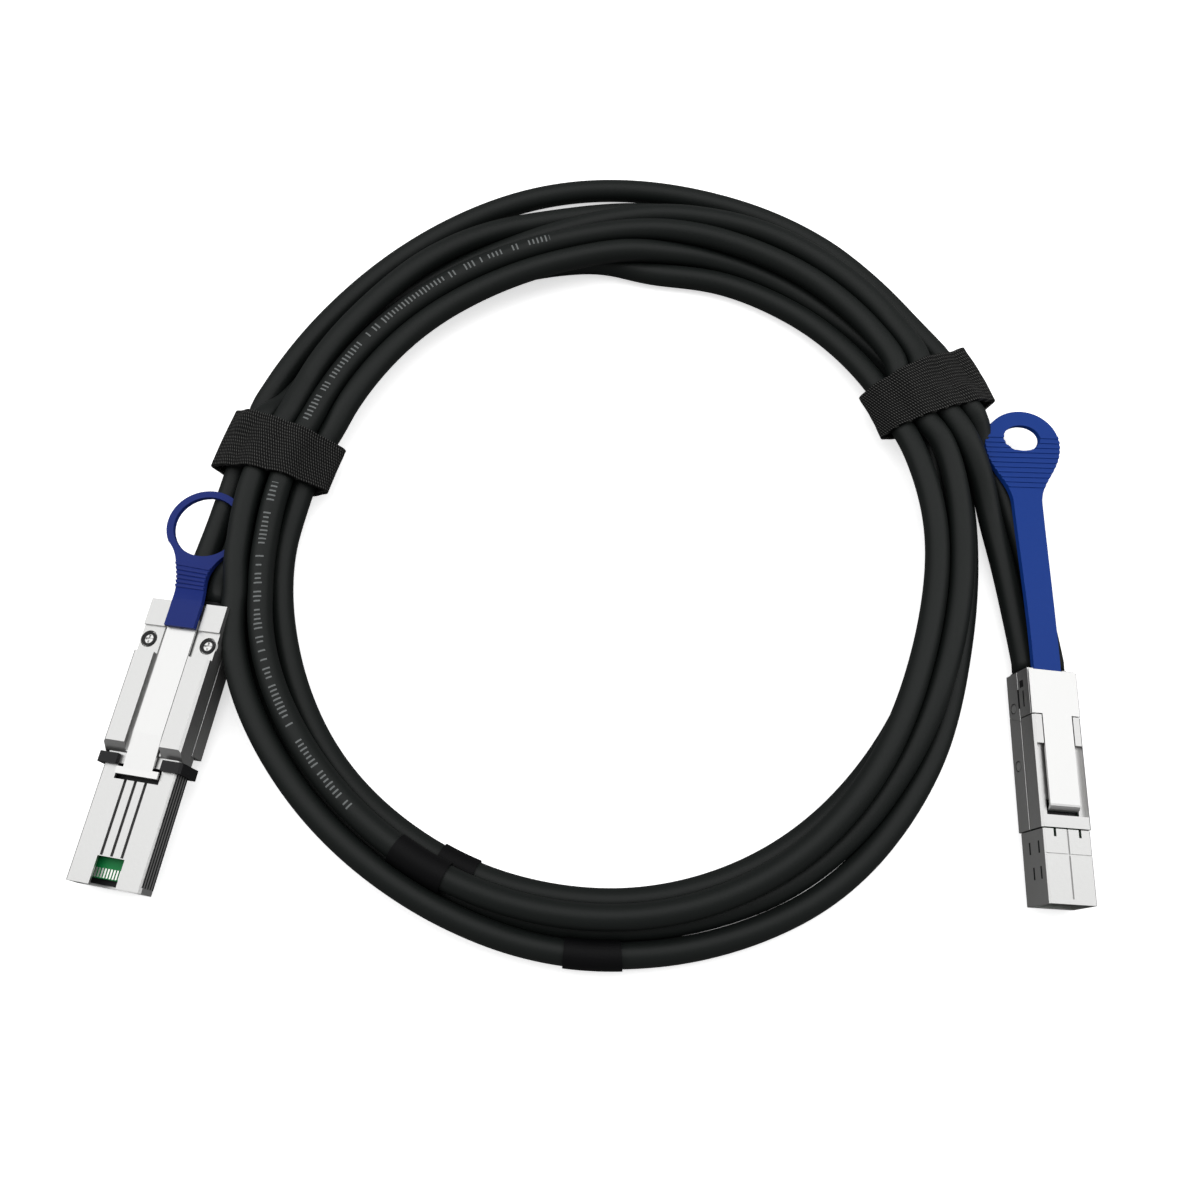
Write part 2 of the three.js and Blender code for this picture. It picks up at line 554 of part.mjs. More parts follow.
// The bundle's section between the two ovals: u runs from 0 inside to 1 outside, v is the height
function bundlePoint(angle, u, v, out, spread = 0) {
  const c = Math.cos(angle);
  const s = Math.sin(angle);
  const inX = INNER_OVAL.x + INNER_OVAL.a * c;
  const inY = INNER_OVAL.y + INNER_OVAL.b * s;
  const outX = OUTER_OVAL.x + OUTER_OVAL.a * c;
  const outY = OUTER_OVAL.y + OUTER_OVAL.b * s;
  const width = Math.hypot(outX - inX, outY - inY);
  const k = u + (spread * (u > 0.5 ? 1 : -1)) / width;
  return out.set(inX + (outX - inX) * k, inY + (outY - inY) * k, v);
}

// Rounded section as (u side, inset, height) points, walked once round
function sectionPoints(inflate) {
  const r = CABLE_D / 2;
  const points = [];
  const corner = (side, up) => {
    for (let i = 0; i <= COIL_CORNER_STEPS; i++) {
      const t = (i / COIL_CORNER_STEPS) * (Math.PI / 2);
      const a = side * up > 0 ? t : Math.PI / 2 - t;
      points.push([side, r - (r + inflate) * Math.cos(a), up > 0
        ? COIL_HEIGHT - r + (r + inflate) * Math.sin(a) : r - (r + inflate) * Math.sin(a)]);
    }
  };
  corner(1, 1);
  corner(-1, 1);
  corner(-1, -1);
  corner(1, -1);
  return points;
}

function bundleSpot([side, inset, height], angle, out) {
  return bundlePoint(angle, side > 0 ? 1 : 0, COIL_BASE + height, out, -inset);
}

// A closed skin from rings of points; whole = true joins the last ring to the first
function skin(rings, whole) {
  const n = rings[0].length;
  const spots = rings.flat().flatMap((p) => [p.x, p.y, p.z]);
  const faces = [];
  const last = whole ? rings.length : rings.length - 1;
  for (let i = 0; i < last; i++) {
    const a = i * n;
    const b = ((i + 1) % rings.length) * n;
    for (let j = 0; j < n; j++) {
      const k = (j + 1) % n;
      faces.push(a + j, b + j, b + k, a + j, b + k, a + k);
    }
  }
  if (!whole) {
    const flat = THREE.ShapeUtils.triangulateShape(flatRing(rings[0]), []);
    const end = (rings.length - 1) * n;
    for (const [p, q, r] of flat) faces.push(p, q, r, end + p, end + r, end + q);
  }
  const geometry = new THREE.BufferGeometry();
  geometry.setAttribute('position', new THREE.Float32BufferAttribute(spots, 3));
  geometry.setIndex(faces);
  return solid(geometry);
}

function flatRing(ring) {
  const first = ring[0];
  const across = new THREE.Vector3(ring[0].x, ring[0].y, 0).sub(new THREE.Vector3(ring[ring.length / 2].x,
    ring[ring.length / 2].y, 0)).normalize();
  return ring.map((p) => new THREE.Vector2(p.clone().sub(first).dot(across), p.z));
}

function coilBody() {
  const section = sectionPoints(0);
  const rings = [];
  for (let i = 0; i < COIL_STEPS; i++) {
    const angle = (i / COIL_STEPS) * 2 * Math.PI;
    rings.push(section.map((s) => bundleSpot(s, angle, new THREE.Vector3())));
  }
  return skin(rings, true);
}

// A sleeve along the bundle, either a closed outer and inner ring or one patch
function sleeve(centre, length, rings, steps = 4) {
  const reach = length / (OUTER_OVAL.a + INNER_OVAL.a);
  const wrap = (points, grow) => {
    const sections = [];
    for (let i = 0; i <= steps; i++) {
      const angle = centre + (reach + grow) * ((2 * i) / steps - 1);
      sections.push(points.map((s) => bundleSpot(s, angle, new THREE.Vector3())));
    }
    return skin(sections, false);
  };
  const [outer, inner] = rings;
  return inner ? wrap(outer, 0).subtract(wrap(inner, 0.02)) : wrap(outer, 0);
}

const pushedOut = (points, outward) => (
  points.map(([side, inset, z]) => [side, side > 0 ? inset - outward : inset, z]));

// A thin patch over part of the section, from its upper and lower faces
const patch = (line) => [[...line(GAP + BAND_THICK), ...line(GAP).reverse()]];
const corner = (from) => (inflate) => sectionPoints(inflate).slice(from, from + COIL_CORNER_STEPS + 1);
const flatTop = (a, b) => (inflate) => [a, b].map((inset) => [1, inset, COIL_HEIGHT + inflate]);

function tube(points, radius, steps, sides) {
  const curve = new THREE.CatmullRomCurve3(points.map((p) => new THREE.Vector3(...p)), false, 'centripetal');
  const outline = new THREE.Shape();
  for (let i = 0; i < sides; i++) {
    const a = (i / sides) * 2 * Math.PI;
    outline[i ? 'lineTo' : 'moveTo'](radius * Math.cos(a), radius * Math.sin(a));
  }
  outline.closePath();
  return solid(new THREE.ExtrudeGeometry(outline, { steps, bevelEnabled: false, extrudePath: curve }));
}

function plugPoint(frame, spot) {
  return new THREE.Vector3(...spot).applyMatrix4(frame.matrix).toArray();
}

// The last two points of a cable: straight at the grommet's face, one gap short of it
function straightIn(frame, x, mouth, z) {
  return [LAST_STRAIGHT, 0].map((back) => plugPoint(frame, [x, mouth + GAP + back, z]));
}

function endRoutes(leftFrame, rightFrame) {
  const left = LEFT_ENDS.map((route, i) => {
    const x = (i ? 1 : -1) * L.cableX;
    return [...route, ...straightIn(leftFrame, x, L.mouthLen, L.cableZ)];
  });
  const right = RIGHT_ENDS.map((route, i) => {
    const [x, z] = R.cables[i];
    return [...route, ...straightIn(rightFrame, x, R.mouthLen, z)];
  });
  return { left, right };
}

function addCable(leftFrame, rightFrame) {
  const routes = endRoutes(leftFrame, rightFrame);
  let coil = coilBody();
  for (const [side, list] of Object.entries(routes)) {
    list.forEach((route, i) => {
      const body = tube(route, CABLE_D / 2, END_STEPS, CABLE_SIDES);
      add(table, `${side}_cable_end_${i + 1}`, body, MATERIALS.jacket);
      coil = coil.subtract(tube([beyond(route), ...route], CABLE_D / 2 + GAP, END_STEPS + 2, CABLE_SIDES));
    });
  }
  const notches = [
    block([ROOM.side, ROOM.ringSide], [ROOM.ringFront, RING.y + RING.outer + L.travel + CUT],
      [ROOM.floor, ROOM.ringTop]),
    block([ROOM.side, L.width / 2 + CUT], [-L.body, ROOM.plugRear], [ROOM.floor, L.thick + RING.thick + CUT]),
  ].map((n) => placed(n, leftFrame));
  coil = without(coil, notches);
  add(table, 'cable_coil', coil, MATERIALS.jacket);
}

// A point one gap before a route's start, on its own line
function beyond(route) {
  const a = new THREE.Vector3(...route[0]);
  const b = new THREE.Vector3(...route[1]);
  return a.clone().add(a.clone().sub(b).setLength(GAP * 2)).toArray();
}

function placed(body, frame) {
  return solid(surface(body).applyMatrix4(frame.matrix));
}

function addWraps() {
  const at = THREE.MathUtils.degToRad;
  for (const [name, { angle, outward }] of Object.entries(STRAPS)) {
    const rings = [GAP + STRAP_THICK, GAP].map((inflate) => pushedOut(sectionPoints(inflate), outward));
    add(table, name, sleeve(at(angle), STRAP_WIDTH, rings), MATERIALS.strap);
  }
  BANDS.forEach(({ angle, length, top, edge }, i) => {
    const line = top ? flatTop(...top) : corner(edge === 'inner' ? COIL_CORNER_STEPS + 1 : 0);
    add(table, `tape_band_${i + 1}`, sleeve(at(angle), length, patch(line)), MATERIALS.tape);
  });
}

const leftFrame = plugFrame(L);
const rightFrame = plugFrame(R);
leftShells(leftFrame);
leftNose(leftFrame);
leftRear(leftFrame);
leftScrews(leftFrame);
leftLatch(leftFrame);
rightShells(rightFrame);
rightNose(rightFrame);
rightRear(rightFrame);
rightRivets(rightFrame);
rightLatch(rightFrame);
addCable(leftFrame, rightFrame);
addWraps();

// The origin is under the middle of the two plugs, on the table
const plugs = new THREE.Box3().setFromObject(leftFrame, true);
plugs.union(new THREE.Box3().setFromObject(rightFrame, true));
const middle = plugs.getCenter(new THREE.Vector3());
table.position.set(-middle.x, -middle.y, -plugs.min.z);
model.updateMatrixWorld(true);

export default model;
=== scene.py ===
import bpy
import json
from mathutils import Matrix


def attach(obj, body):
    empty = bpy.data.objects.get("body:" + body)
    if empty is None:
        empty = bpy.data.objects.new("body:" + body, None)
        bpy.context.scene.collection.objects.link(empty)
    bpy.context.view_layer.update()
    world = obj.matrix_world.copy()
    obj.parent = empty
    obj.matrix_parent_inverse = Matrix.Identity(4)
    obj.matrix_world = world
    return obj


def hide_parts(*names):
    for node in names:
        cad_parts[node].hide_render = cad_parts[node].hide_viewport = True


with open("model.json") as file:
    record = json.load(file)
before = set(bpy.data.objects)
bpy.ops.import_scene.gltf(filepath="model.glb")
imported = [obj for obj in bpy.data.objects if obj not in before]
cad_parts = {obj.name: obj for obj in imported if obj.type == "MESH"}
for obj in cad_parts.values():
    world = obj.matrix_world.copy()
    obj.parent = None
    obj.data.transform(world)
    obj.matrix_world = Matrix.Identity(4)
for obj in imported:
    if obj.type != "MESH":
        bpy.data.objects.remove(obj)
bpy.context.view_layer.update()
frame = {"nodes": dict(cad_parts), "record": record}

import json
import math

import bpy
import numpy as np
from mathutils import Euler, Matrix, Vector

MM = 0.001

# Where the table's own frame has its origin; the ovals and routes below are stated in it, in millimetres
TABLE = (1.941, 14.865)

# Camera: aim on the table, height in degrees, distance in millimetres
LOOK_AT = (0.0, 0.0)
ELEVATION = 70
DISTANCE = 337.5
LENS = 37.5
SENSOR = 36
NEAREST = 0.01

# Cables
CABLE_D = 6.5
CABLE_R = CABLE_D / 2
CABLE_SIDES = 24
OUTER_OVAL = (0.0, 21.7, 104.5, 115.8)   # middle x and y, half width and half depth
STEP = 2.4                               # length of one straight of a cable's line
FINE_STEPS = 16                          # fine points between two chosen ones
TURN_STEP = 2.0                          # degrees between two points of the coil's line
END_POINTS = 30                          # points of a cable's line that come before its first pass

# Settling of the strands
TOUCH = 6.56                             # nearest that two strands' centres come
CEILING = 9.9                            # highest centre of a strand, without what a strap lifts it by
SETTLE_TURNS = 160
PUSH = 0.5                               # share of an overlap that one turn clears
SMOOTHING = 0.2                          # pull towards the middle of the two neighbours
HOLD = 0.008                             # pull back to the chosen route
LEAST_FAR = 0.2                          # two centres nearer than this are pushed less
FIXED_POINTS = 5                         # points at each end that stay
NEIGHBOURS = 8                           # points along one strand that aren't pushed apart

# Jacket and the bars that stand for its printing, with shares of the way round the cable
JACKET_COLOR = (0.0075, 0.0095, 0.0088, 1)
PRINTED_TURNS = ((99, 163), (175, 231))
BAR_PITCH = 1.25
BAR_FILL = 0.35
BAR_SKIPPED = 0.22
BAR_HALF = 0.03
BAR_SPREAD = 0.025
CABLE_TOP = 0.25
BAR_COLOR = (0.16, 0.17, 0.17, 1)

# Straps: each one's turn of the coil, its lean in degrees of turn per millimetre inwards, and how far
# its flat ends reach past the strands on the outside and on the inside
STRAP_ANGLES = (170, 19)
STRAP_LEANS = (0.08, -0.05)
STRAP_EARS = ((1.2, 1.6), (1.2, 0.8))
EAR_R = 0.8
STRAP_WIDTH = 15
STRAP_THICK = 1.1
STRAP_ROOM = 0.15
STRAP_TIGHT = 0.5
LEAN_MIDDLE = 14                         # inset that a leaning strap turns about
STRAP_FLOOR = 1.45                       # what a strap lifts its strands by
STRAP_REACH = 14                         # degrees from a strap's middle to where the lift ends
STRAP_RAMP = 8                           # degrees over which the lift grows

# Bands: turn of the coil and width
PAIR_BAND = (242, 15)
INNER_BAND = (246.5, 11)
OUTER_BAND = (269, 13.5)
PAIR_INSETS = (4, 12)                    # insets of the strands that the first band holds
BAND_THICK = 0.45
BAND_ROOM = 0.05
PAIR_TIGHT = 0.6

# Sleeves of the straps and bands
WRAP_STEPS = 11
WRAP_RADIUS = 100                        # the coil's, which turns a width into an angle
LOOP_POINTS = 96
CIRCLE_POINTS = 24
HULL_GAP = 0.5
SIDE_PULL = 0.15                         # what is drawn in at the flat ends, as a share of the top's half
INNER_LIFT = 0.9                         # share of the thickness that the inside lies above the table
BUNDLE = (-10, 50)                       # insets between which a strand belongs to the bundle
TABLE_GAP = 0.05
SHARP_EDGE = 50

# Webbing, with a painted glint: a paler colour on the tops of its ribs
RIB_PITCH = 0.7
RIB_SLANT = 0.45
THREAD_PITCH = 0.9
THREAD_SHARE = 0.35
WEAVE_HEIGHTS = (0.5, 1.3)               # heights of the weave between which the painted glint grows from none to full
WEAVE_BUMP = 0.8
WEAVE_DARK = (0.002, 0.002, 0.0022, 1)
# painted glint: the pale grey on the rib tops
WEAVE_PAINTED_GLINT = (0.11, 0.11, 0.105, 1)

# Plugs: place on the table, yaw, roll, body width, chamfer; and where the cables enter them
LEFT_PLUG = dict(place=(-104.4, -5.5), yaw=-11, roll=-11.5, width=22, edge=0.6)
RIGHT_PLUG = dict(place=(112.5, -23.1), yaw=-1.9, roll=13, width=13.4, edge=0.6)
LEFT_MOUTH = dict(y=2.0, spots=((-3.5, 3.7), (3.5, 3.7)))
RIGHT_MOUTH = dict(y=0.8, spots=((-2.8, 3.2), (3.3, 5.7)))
GAP = 0.3
LAST_STRAIGHT = 3

# The free ends, from the strap to each plug
LEFT_ENDS = (
    ((-98.8, 37.6, 4.95), (-100.4, 29, 4.3), (-102.9, 21, 3.5), (-105.7, 13.6, 3.6), (-107.4, 5, 4.2)),
    ((-92.2, 36, 4.95), (-93.6, 27.6, 4.8), (-96, 19.4, 3.8), (-99.1, 11.6, 3.6), (-100.6, 4, 4.8)),
)
RIGHT_ENDS = (
    ((97.6, 50.5, 10.6), (100.1, 44, 10.2), (102.1, 37.5, 8.9), (104.1, 30, 6.1), (106.4, 20, 3.8),
     (108.6, 10.4, 3.6), (110, -6, 4)),
    ((101.1, 51, 4.9), (104.3, 44.5, 4.6), (109, 36.4, 3.7), (112.6, 25, 3.6), (115.3, 10, 3.6),
     (116.6, -6, 4.6)),
)

# The coiled stretch of each cable: (turn in degrees, inset from the outer oval, height)
LANES = (
    ((26, 9.5, 9.8), (40, 12.5, 9), (60, 18.5, 9), (80, 24, 9.5), (100, 28, 9.5), (120, 28, 9.4),
     (140, 25, 9.6), (160, 21.3, 10.9), (180, 16, 10.8), (200, 10.5, 9.8), (220, 9.8, 9.6),
     (240, 9.8, 9.6), (260, 9.5, 9.3), (280, 8.5, 9.2), (300, 8.5, 9.2), (320, 11, 9.2), (340, 13.5, 9.2),
     (360, 14, 9.5), (370, 16.5, 10.5), (384, 19, 8), (400, 22, 4.5), (420, 28, 3.3), (440, 31, 3.3),
     (460, 31.5, 3.3), (480, 28.5, 3.3), (500, 25.8, 3.3), (520, 22.5, 4.9), (530, 18, 4.7), (540, 13, 4),
     (550, 9.5, 3.3), (560, 8.3, 3.3), (580, 6.8, 3.3), (600, 7.2, 3.3), (620, 7.2, 3.3), (640, 6.2, 3.3),
     (660, 4.4, 3.3), (680, 5, 5.6), (700, 7.2, 9), (720, 7.3, 9.5), (744, 7, 10.8), (760, 7, 9.7),
     (780, 11, 9.5), (800, 18.6, 8.5), (820, 22.6, 6.2), (840, 20.5, 3.3), (860, 16, 3.3),
     (878, 12.5, 4.9)),
    ((28, 10, 4.9), (40, 15.5, 4), (60, 21.5, 4), (80, 29.5, 7), (100, 34.5, 9.3), (120, 34, 9),
     (140, 31.5, 9.4), (160, 27.8, 9.8), (170, 23, 7), (180, 19, 4.9), (190, 16.8, 3.6), (200, 15.5, 3.3),
     (220, 13.4, 3.3), (240, 13.8, 3.3), (260, 13.6, 3.3), (280, 13, 3.3), (300, 12, 3.3),
     (320, 11.7, 3.3), (340, 11.5, 3.3), (360, 11.5, 3.3), (384, 6, 4.9), (400, 5, 3.3), (420, 8, 3.3),
     (440, 13.5, 3.3), (460, 16.5, 3.5), (480, 17.5, 7.5), (500, 17, 9.5), (520, 13.6, 10.9),
     (540, 8.5, 12), (550, 5.5, 11), (560, 3, 9.8), (580, 2.5, 9), (600, 2.7, 8), (620, 2, 5.5),
     (640, 0.6, 3.3), (650, -0.7, 3.3), (660, -2.2, 3.3), (670, -1.6, 3.3), (680, 0.4, 3.3),
     (700, 4, 3.3), (720, 4.5, 3.3), (744, 1, 4.9), (760, 1, 3.3), (780, 3.4, 3.3), (800, 5.5, 3.3),
     (820, 6.7, 3.3), (840, 8.2, 3.3), (860, 7.5, 3.3), (878, 5.5, 4.9)),
)

# Small pieces on the plugs, in each plug's own millimetres; a box is its x, y and z spans
EDGE = 0.12
EDGE_STEPS = 2
EDGE_ANGLE = 40
SCREW_SPOTS = ((-8.6, -10.9), (8.6, -10.9))
# Painted shadow: thin black rings round the screws stand for the shade in their recesses
SCREW_RING = dict(inner=1.25, outer=1.95, top=9.78, thick=0.1)
RING_SIDES = 24
# Painted shade: a black sheet at the bottom of the right plug's latch well
WELL_SHADE_SHEET = ((-4.4, 4.4), (-37.3, -33.2), (8.75, 8.95))
# Painted shade: black sheets behind the left nose's openings and a dark grey one under its slots
NOSE_SHADE_SHEETS = (((-9.3, 9.3), (-72.8, -56), (3.5, 3.9)), ((-8, 8), (-47.9, -42), (6.2, 6.4)))
SLOT_SHADE_SHEET = ((-9, 9), (-66.1, -48), (7.45, 7.7))
CONTACT = dict(count=17, first=-7.2, pitch=0.85, width=0.45, y=(-71.3, -69), z=(6.16, 6.24))
# Painted shade: thin black strips in the grooves between the left nose's side ridges
RIDGE_SHADE_STRIPS = dict(count=5, x=(10.5, 10.56), y=(-72, -43), first=3.3, pitch=1.15, height=0.45)
# Painted shade: thin black boxes on the right plug's side where its slots are
COVER_SIDE = (-6.72, -6.68)
COVER_SLOTS = (((-4.4, -2.6), (6.6, 8.2)), ((-9.6, -4.6), (5.2, 5.9)), ((-9.6, -5.4), (7.6, 8.1)))
NOSE_SIDE = (-6.42, -6.38)
NOSE_SLOTS = ((-46.4, 4.2), (-46.4, 8.2), (-52.6, 5.2), (-52.6, 8.4))
NOSE_SLOT = dict(length=3, height=0.6)

# Floor and light; the softboxes have a place, an aim and a side in metres, and a power in watts
FLOOR_SIZE = 6
FLOOR_SEEN = (1, 1, 1, 1)
FLOOR_ELSE = (0.2, 0.2, 0.2, 1)
FLOOR_GLOW = 0.6
WHITE = (1, 1, 1, 1)
WORLD_LIGHT = 0.3
SOFTBOXES = (
    ("softbox", (0, 0.3, 1.0), (0, 0.05, 0), 1.0, 4.5),
    ("left_softbox", (-0.85, 0.3, 0.85), (0, 0, 0), 0.95, 4.4),
    ("right_softbox", (0.9, 0.25, 0.8), (0, 0, 0), 0.95, 4.6),
)


def row(point):
    """A point of the table's frame in millimetres, as metres in the row frame."""
    return Vector(((point[0] + TABLE[0]) * MM, (point[1] + TABLE[1]) * MM, point[2] * MM))


def plug_matrix(plug):
    """A plug's own frame on the table; the plug leans over and rests on its lower long edge."""
    lean = math.radians(plug["roll"])
    lift = (plug["width"] / 2 - plug["edge"]) * math.sin(abs(lean))
    turn = Matrix.Rotation(math.radians(plug["yaw"]), 4, "Z") @ Matrix.Rotation(lean, 4, "Y")
    return Matrix.Translation((*plug["place"], lift)) @ turn


LEFT_FRAME = plug_matrix(LEFT_PLUG)
RIGHT_FRAME = plug_matrix(RIGHT_PLUG)


def add_camera():
    data = bpy.data.cameras.new("camera")
    data.lens = LENS
    data.sensor_width = SENSOR
    data.clip_start = NEAREST
    camera = bpy.data.objects.new("camera", data)
    bpy.context.scene.collection.objects.link(camera)
    tilt = math.radians(ELEVATION)
    aim = row((*LOOK_AT, 0))
    camera.location = aim + Vector((0, -math.cos(tilt), math.sin(tilt))) * DISTANCE * MM
    camera.rotation_euler = Euler((math.pi / 2 - tilt, 0, 0))
    bpy.context.scene.camera = camera


# Lines
def run_of(line):
    """The length along a line up to each of its points."""
    return np.concatenate([[0], np.cumsum(np.linalg.norm(np.diff(line, axis=0), axis=1))])


def length_of(line):
    return float(run_of(line)[-1])


def evenly(line, gap):
    """Points at an even gap, near the given one, along a line."""
    run = run_of(line)
    places = np.linspace(0, run[-1], max(2, round(run[-1] / gap)) + 1)
    return np.stack([np.interp(places, run, column) for column in line.T], axis=1)


def smooth_through(points, gap):
    """Points at an even gap along a smooth line through the given ones."""
    given = np.array(points, float)
    padded = np.vstack([2 * given[0] - given[1], given, 2 * given[-1] - given[-2]])
    fine = []
    for i in range(1, len(padded) - 2):
        p0, p1, p2, p3 = padded[i - 1:i + 3]
        for t in np.linspace(0, 1, FINE_STEPS, endpoint=False):
            fine.append(0.5 * (2 * p1 + (p2 - p0) * t + (2 * p0 - 5 * p1 + 4 * p2 - p3) * t ** 2
                               + (3 * p1 - p0 - 3 * p2 + p3) * t ** 3))
    return evenly(np.array(fine + [given[-1]]), gap)


def oval_frame(turn):
    """Place on the outer oval at a turn, the outward direction there and the direction along it."""
    x, y, a, b = OUTER_OVAL
    c, s = math.cos(math.radians(turn)), math.sin(math.radians(turn))
    out = np.array([c / a, s / b])
    out /= np.linalg.norm(out)
    return np.array([x + a * c, y + b * s]), out, np.array([-out[1], out[0]])


def coil_spot(turn, inset, height):
    """A place in the coil: inset runs inwards from the outer oval, at right angles to it."""
    start, out, _ = oval_frame(turn)
    return (*(start - out * inset), height)


def turns_of(points):
    """The turn of each point round the outer oval, in radians."""
    x, y, a, b = OUTER_OVAL
    return np.arctan2((points[:, 1] - y) / b, (points[:, 0] - x) / a)


# Cable routes
def straight_in(matrix, mouth, index):
    """The two points of a cable at its plug: straight at the grommet's face."""
    x, z = mouth["spots"][index]
    return [tuple(matrix @ Vector((x, mouth["y"] + GAP + back, z))) for back in (0, LAST_STRAIGHT)]


def between(first, second, first_slope, second_slope, wide, t):
    """A value at the share t between two stations that lie wide apart, with their slopes."""
    return ((2 * t ** 3 - 3 * t ** 2 + 1) * first + (t ** 3 - 2 * t ** 2 + t) * wide * first_slope
            + (3 * t ** 2 - 2 * t ** 3) * second + (t ** 3 - t ** 2) * wide * second_slope)


def lane_line(lane):
    """The coil's turns: places between the lane's stations, by small steps of turn."""
    stations = np.array(lane, float)
    turns, spots = stations[:, 0], stations[:, 1:]
    slope = np.gradient(spots, turns, axis=0)
    found = []
    for turn in np.arange(turns[0], turns[-1] + TURN_STEP / 20, TURN_STEP):
        i = int(np.clip(np.searchsorted(turns, turn, side="right") - 1, 0, len(turns) - 2))
        wide = turns[i + 1] - turns[i]
        spot = between(spots[i], spots[i + 1], slope[i], slope[i + 1], wide, (turn - turns[i]) / wide)
        found.append(coil_spot(turn, *spot))
    return found


def cable_line(index):
    """A whole cable, from the right plug through the coil to the left plug."""
    right = straight_in(RIGHT_FRAME, RIGHT_MOUTH, index) + list(RIGHT_ENDS[index])[::-1]
    left = list(LEFT_ENDS[index]) + straight_in(LEFT_FRAME, LEFT_MOUTH, index)[::-1]
    return smooth_through(right + lane_line(LANES[index]) + left, STEP)


def floor_of(points):
    """The lowest height of a strand's centre: on the table, or on a strap."""
    turn = np.degrees(turns_of(points)) % 360
    lift = np.zeros(len(points))
    for angle in STRAP_ANGLES:
        away = np.abs((turn - angle + 180) % 360 - 180)
        lift = np.maximum(lift, STRAP_FLOOR * np.clip((STRAP_REACH - away) / STRAP_RAMP, 0, 1))
    return CABLE_R + lift


def settle(lines):
    """Pushes strands that lie in each other apart, between the table and the upper layer's height."""
    counts = [len(line) for line in lines]
    joined = np.vstack(lines)
    chosen = joined.copy()
    owner = np.repeat(np.arange(len(lines)), counts)
    order = np.concatenate([np.arange(count) for count in counts])
    last = np.repeat(counts, counts)
    free = (order >= FIXED_POINTS) & (order < last - FIXED_POINTS)
    beside = (owner[:, None] == owner[None, :]) & (np.abs(order[:, None] - order[None, :]) < NEIGHBOURS)
    floor = floor_of(chosen)
    ceiling = floor - CABLE_R + CEILING
    for _ in range(SETTLE_TURNS):
        apart = joined[:, None, :] - joined[None, :, :]
        far = np.linalg.norm(apart, axis=2)
        far[beside] = 2 * TOUCH
        close = np.clip(TOUCH - far, 0, None)
        push = (apart * (close / np.maximum(far, LEAST_FAR))[:, :, None]).sum(axis=1)
        push /= np.maximum((close > 0).sum(axis=1), 1)[:, None]
        middle = joined.copy()
        middle[1:-1] = (joined[:-2] + joined[2:]) / 2
        joined[free] += (PUSH * push + SMOOTHING * (middle - joined) + HOLD * (chosen - joined))[free]
        joined[:, 2] = np.where(free, np.clip(joined[:, 2], floor, ceiling), joined[:, 2])
    return np.split(joined, np.cumsum(counts)[:-1])


def run_at(line, turn):
    """The length along a cable where its first pass comes to a turn."""
    turns = np.degrees(np.unwrap(turns_of(line)))
    turns -= 360 * round(turns[END_POINTS] / 360)
    return float(run_of(line)[END_POINTS:][np.argmax(turns[END_POINTS:] > turn)])


# Meshes
def build_mesh(name, spots, faces, material, uvs=None, smooth=True):
    """A piece from table places in millimetres, with texture places in millimetres per face corner."""
    mesh = bpy.data.meshes.new(name)
    mesh.from_pydata([row(spot) for spot in spots], [], faces)
    if uvs is not None:
        layer = mesh.uv_layers.new(name="run")
        for corner, uv in zip(layer.data, uvs):
            corner.uv = uv
    mesh.polygons.foreach_set("use_smooth", [smooth] * len(mesh.polygons))
    mesh.materials.append(material)
    piece = bpy.data.objects.new(name, mesh)
    bpy.context.scene.collection.objects.link(piece)
    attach(piece, "plugs_and_cable")
    return piece


def ring_frames(line):
    """Side and up directions along a line; up leans as little from the vertical as it can."""
    along = np.gradient(line, axis=0)
    along /= np.linalg.norm(along, axis=1)[:, None]
    side = np.cross(along, [0, 0, 1])
    side /= np.linalg.norm(side, axis=1)[:, None]
    return side, np.cross(side, along)


def add_tube(name, line, radius, material):
    """A round cable; its texture place is the length along it, and the share of the way round it."""
    side, up = ring_frames(line)
    n = CABLE_SIDES
    turn = np.linspace(0, 2 * np.pi, n, endpoint=False)
    rings = (line[:, None, :] + radius * (np.cos(turn)[None, :, None] * side[:, None, :]
                                          + np.sin(turn)[None, :, None] * up[:, None, :]))
    run = run_of(line)
    faces, uvs = [], []
    for i in range(len(line) - 1):
        for j in range(n):
            k = (j + 1) % n
            faces.append((i * n + j, i * n + k, (i + 1) * n + k, (i + 1) * n + j))
            low, high = j / n, (j + 1) / n
            uvs += [(run[i], low), (run[i], high), (run[i + 1], high), (run[i + 1], low)]
    end = (len(line) - 1) * n
    faces += [tuple(range(n))[::-1], tuple(range(end, end + n))]
    uvs += [(0, 0)] * (2 * n)
    return build_mesh(name, rings.reshape(-1, 3), faces, material, uvs)


def add_boxes(name, frame_matrix, boxes, material):
    """Plain boxes in a plug's own frame, as one piece."""
    spots, faces = [], []
    for xs, ys, zs in boxes:
        base = len(spots)
        spots += [tuple(frame_matrix @ Vector((x, y, z))) for x in xs for y in ys for z in zs]
        faces += [tuple(base + i for i in face) for face in
                  ((0, 1, 3, 2), (4, 6, 7, 5), (0, 4, 5, 1), (2, 3, 7, 6), (0, 2, 6, 4), (1, 5, 7, 3))]
    build_mesh(name, spots, faces, material, smooth=False)


